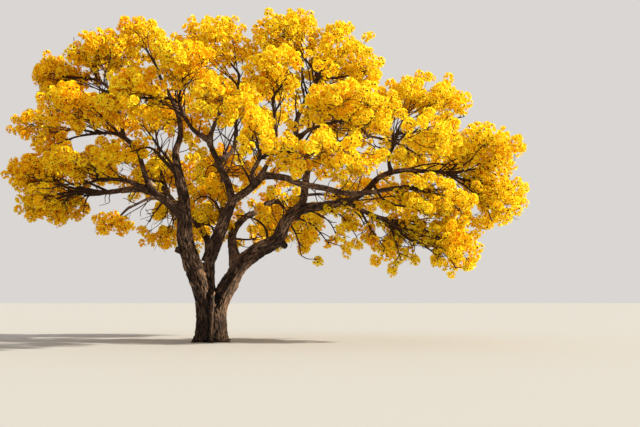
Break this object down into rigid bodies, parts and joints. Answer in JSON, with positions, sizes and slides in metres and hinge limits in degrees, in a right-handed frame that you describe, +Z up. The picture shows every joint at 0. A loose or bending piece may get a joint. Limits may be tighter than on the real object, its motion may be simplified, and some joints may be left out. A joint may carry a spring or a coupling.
{
  "type": "yellow ipe tree",
  "caption": "leafless yellow ipe tree in full bloom, forked leaning trunk with root flare, spreading crooked boughs, and open clouds of golden blossom on branching twigs",
  "frame": {"origin": "middle of the flat cut under the trunk, at ground level", "axes": "+Z up, +X to the right as the tree is seen from its front, the way its crown spreads widest, +Y away from the front"},
  "size_m": [10.987, 8.2047, 7.0744],
  "materials": {
    "bark": "rough dark brown bark with deep upright fissures and paler ridges",
    "blossom": "matt golden trumpet flowers in round clusters on thin brown twigs"
  },
  "bodies": {
    "root": {"trunk": "bark", "left_leader": "bark", "middle_leader": "bark", "right_limb": "bark", "left_low_limb": "bark", "left_sprig_limb": "bark", "left_reach_limb": "bark", "left_rising_limb": "bark", "left_upper_limb": "bark", "left_top_leader": "bark", "middle_left": "bark", "cross_limb": "bark", "top_left_leader": "bark", "middle_right": "bark", "front_top_limb": "bark", "front_limb": "bark", "right_riser": "bark", "front_high_limb": "bark", "right_tip_limb": "bark", "right_up_limb": "bark", "right_low_limb": "bark", "back_left_limb": "bark", "back_mid_limb": "bark", "back_right_limb": "bark", "back_crest_limb": "bark", "blossom_left_tip": "blossom", "blossom_left_hem": "blossom", "blossom_left_flat": "blossom", "blossom_left_sprig": "blossom", "blossom_left_point": "blossom", "blossom_left_body": "blossom", "blossom_left_upper_tip": "blossom", "blossom_left_crest": "blossom", "blossom_left_top": "blossom", "blossom_left_face": "blossom", "blossom_ridge_upper": "blossom", "blossom_ridge_mid": "blossom", "blossom_ridge_low": "blossom", "blossom_top_left": "blossom", "blossom_top_mid": "blossom", "blossom_top_right": "blossom", "blossom_front_top": "blossom", "blossom_front_high": "blossom", "blossom_front_centre": "blossom", "blossom_right_shoulder": "blossom", "blossom_right_front": "blossom", "blossom_right_upper": "blossom", "blossom_right_tip": "blossom", "blossom_right_mid": "blossom", "blossom_right_hang": "blossom", "blossom_right_hem": "blossom", "blossom_back_left_low": "blossom", "blossom_back_left_mid": "blossom", "blossom_back_left_crest": "blossom", "blossom_back_mid": "blossom", "blossom_back_crest": "blossom", "blossom_back_right_low": "blossom", "blossom_back_right": "blossom", "blossom_back_right_crest": "blossom", "blossom_back_right_tip": "blossom"}
  },
  "joints": []
}
